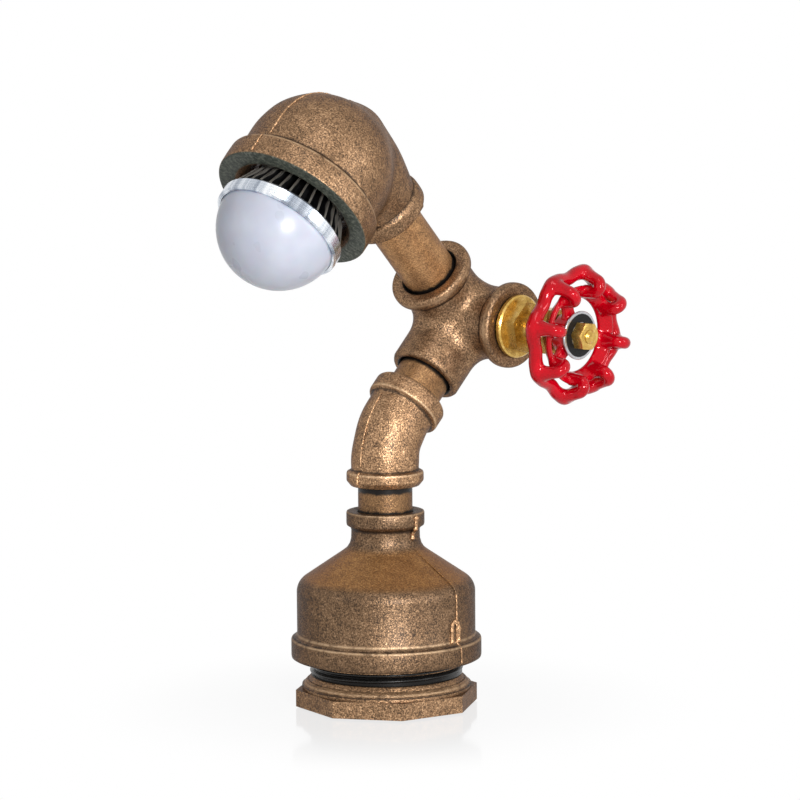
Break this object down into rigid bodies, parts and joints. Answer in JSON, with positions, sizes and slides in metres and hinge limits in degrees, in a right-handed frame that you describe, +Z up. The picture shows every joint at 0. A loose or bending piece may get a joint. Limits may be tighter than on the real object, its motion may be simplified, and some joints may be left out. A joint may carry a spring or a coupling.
{
  "type": "industrial pipe table lamp",
  "caption": "Table lamp made of bronze-painted malleable iron pipe fittings, with a red valve handwheel as its switch and a reflector-type bulb screwed into a pipe elbow",
  "frame": {"origin": "middle of the octagonal foot, on the face that rests on the table", "axes": "+Z is up along the base; the arm leans back towards +Y and the lamp head looks forward and down towards -Y; the handwheel is on the +X side"},
  "size_m": [0.1082, 0.1586, 0.2417],
  "materials": {
    "cast_bronze": "bronze hammered paint on malleable iron, satin",
    "pipe_bronze": "bronze paint on steel pipe, satin",
    "wheel_red": "red enamel, gloss",
    "brass": "worn brass",
    "steel_plated": "plated steel",
    "rubber_black": "matte",
    "nylon_white": "matte",
    "plastic_black": "matte",
    "lead_grey": "matte",
    "ptfe_white": "matte",
    "ceramic_white": "glazed",
    "aluminium_bright": "brushed, bright",
    "aluminium_black": "black anodised with bright fin edges",
    "opal_plastic": "opal, satin",
    "board_green": "solder mask",
    "board_white": "white solder mask"
  },
  "bodies": {
    "base": {"octagon_bushing": "cast_bronze", "foot_pad": "rubber_black", "reducing_socket": "cast_bronze", "cable_grommet": "rubber_black", "terminal_block": "nylon_white", "terminal_screws": "steel_plated", "base_lead": "lead_grey", "lower_nipple": "pipe_bronze"},
    "neck": {"elbow_45": "cast_bronze", "middle_nipple": "pipe_bronze", "neck_lead": "lead_grey"},
    "arm": {"corner_fitting": "cast_bronze", "upper_pipe": "pipe_bronze", "valve_bonnet": "brass", "packing_nut": "brass", "gland_packing": "ptfe_white", "rotary_switch": "plastic_black", "switch_nut": "brass", "arm_lead": "lead_grey", "pipe_lead": "lead_grey"},
    "wheel": {"valve_stem": "brass", "shaft_coupler": "brass", "switch_spindle": "steel_plated", "handwheel": "wheel_red", "name_disc": "aluminium_bright", "wheel_nut": "brass"},
    "head": {"head_elbow": "cast_bronze", "lampholder_body": "ceramic_white", "holder_sleeve": "brass", "holder_contact": "brass", "holder_terminals": "brass", "retaining_ring": "steel_plated", "head_lead": "lead_grey"},
    "bulb_core": {"cap_insulator": "plastic_black", "cap_contact": "steel_plated"},
    "bulb": {"cap_shell": "steel_plated", "heat_sink": "aluminium_black", "trim_ring": "aluminium_bright", "diffuser_dome": "opal_plastic", "led_board": "board_white", "led_driver": "board_green"}
  },
  "joints": [
    {"name": "neck_swivel", "type": "hinge", "parent": "base", "child": "neck", "pos_m": [0, 0, 0.1063], "axis": [0, 0, 1], "range_deg": [-90, 90]},
    {"name": "arm_swivel", "type": "hinge", "parent": "neck", "child": "arm", "pos_m": [0, 0.04299, 0.14929], "axis": [0, 0.7071, 0.7071], "range_deg": [-30, 30]},
    {"name": "head_swivel", "type": "hinge", "parent": "arm", "child": "head", "pos_m": [0.0066, -0.03118, 0.22346], "axis": [0.0628, -0.7057, 0.7057], "range_deg": [-90, 90]},
    {"name": "wheel_turn", "type": "hinge", "parent": "arm", "child": "wheel", "pos_m": [0.06178, 0.04574, 0.14654], "axis": [0.998, 0.0444, -0.0444], "range_deg": [0, 270]},
    {"name": "bulb_travel", "type": "slide", "parent": "head", "child": "bulb_core", "axis": [0.0383, -0.7049, -0.7083], "range_m": [0, 0.0145]},
    {"name": "bulb_turn", "type": "hinge", "parent": "bulb_core", "child": "bulb", "pos_m": [0.0066, -0.03118, 0.22346], "axis": [0.0383, -0.7049, -0.7083], "range_deg": [0, 1440]}
  ],
  "couplings": [
    {"joint": "bulb_turn", "follows": "bulb_travel", "rad_per_m": 1730.9}
  ]
}
